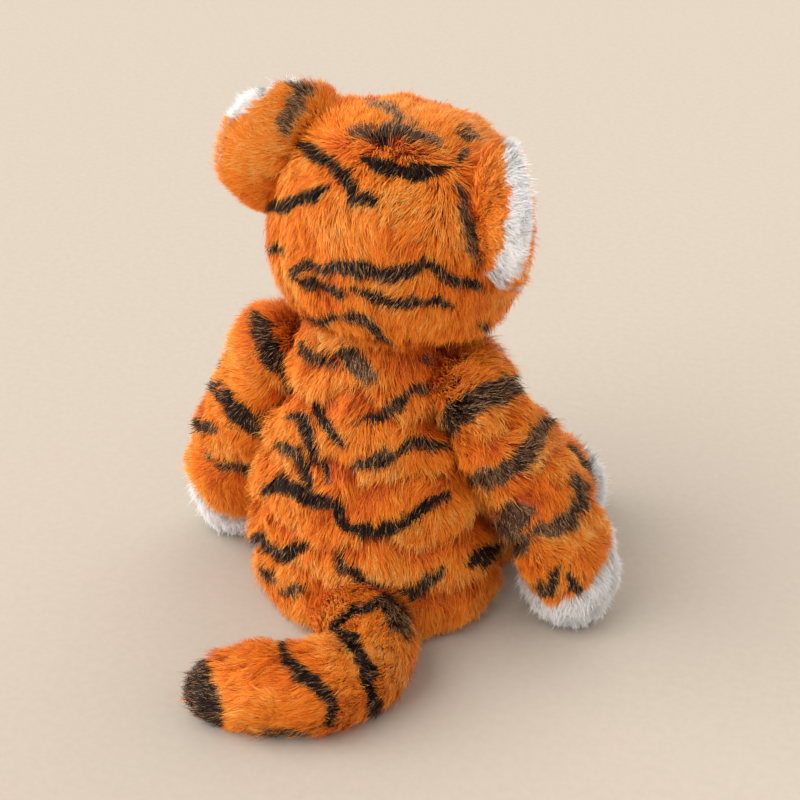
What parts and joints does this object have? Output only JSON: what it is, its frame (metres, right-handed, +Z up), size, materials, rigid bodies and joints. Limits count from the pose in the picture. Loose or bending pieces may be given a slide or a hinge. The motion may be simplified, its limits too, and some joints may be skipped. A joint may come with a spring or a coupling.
{
  "type": "plush tiger",
  "caption": "Sitting plush tiger with fur covers over stuffing, white paws, cupped ears and a hooked tail; head, arms, legs and tail move at their seams.",
  "frame": {"origin": "centre of the body's flat seat, on the surface that the tiger sits on", "axes": "+Z up; the tiger faces -Y, and its left side is +X"},
  "size_m": [0.2063, 0.2207, 0.2328],
  "materials": {
    "orange_fur": "matte",
    "white_fur": "matte",
    "stuffing": "matte",
    "pellet_cloth": "matte",
    "eye_plastic": "gloss",
    "washer_plastic": "satin",
    "nose_felt": "matte"
  },
  "bodies": {
    "body": {"body_cover": "orange_fur", "belly_panel": "white_fur", "body_stuffing": "stuffing", "pellet_bag": "pellet_cloth"},
    "head": {"head_cover": "orange_fur", "head_stuffing": "stuffing", "muzzle": "white_fur", "nose": "nose_felt", "left_eye": "eye_plastic", "right_eye": "eye_plastic", "left_eye_washer": "washer_plastic", "right_eye_washer": "washer_plastic", "left_ear_back": "orange_fur", "right_ear_back": "orange_fur", "left_ear_lining": "white_fur", "right_ear_lining": "white_fur"},
    "left_arm": {"left_arm": "orange_fur", "left_arm_stuffing": "stuffing", "left_paw": "white_fur"},
    "right_arm": {"right_arm": "orange_fur", "right_arm_stuffing": "stuffing", "right_paw": "white_fur"},
    "left_leg": {"left_leg": "orange_fur", "left_leg_stuffing": "stuffing", "left_foot": "white_fur"},
    "right_leg": {"right_leg": "orange_fur", "right_leg_stuffing": "stuffing", "right_foot": "white_fur"},
    "tail": {"tail": "orange_fur", "tail_stuffing": "stuffing"}
  },
  "joints": [
    {"name": "neck_turn", "type": "hinge", "parent": "body", "child": "head", "pos_m": [-0.003, -0.012, 0.145], "axis": [0, 0, 1], "range_deg": [-45, 45]},
    {"name": "left_shoulder", "type": "hinge", "parent": "body", "child": "left_arm", "pos_m": [0.046, 0.005, 0.118], "axis": [-1, 0, 0], "range_deg": [-30, 80]},
    {"name": "right_shoulder", "type": "hinge", "parent": "body", "child": "right_arm", "pos_m": [-0.046, 0.005, 0.118], "axis": [-1, 0, 0], "range_deg": [-30, 80]},
    {"name": "left_hip", "type": "hinge", "parent": "body", "child": "left_leg", "pos_m": [0.03, -0.033, 0.025], "axis": [-1, 0, 0], "range_deg": [-10, 20]},
    {"name": "right_hip", "type": "hinge", "parent": "body", "child": "right_leg", "pos_m": [-0.03, -0.033, 0.025], "axis": [-1, 0, 0], "range_deg": [-10, 20]},
    {"name": "tail_sway", "type": "hinge", "parent": "body", "child": "tail", "pos_m": [-0.004, 0.047, 0.01666], "axis": [0, 0, 1], "range_deg": [-22, 12]}
  ]
}
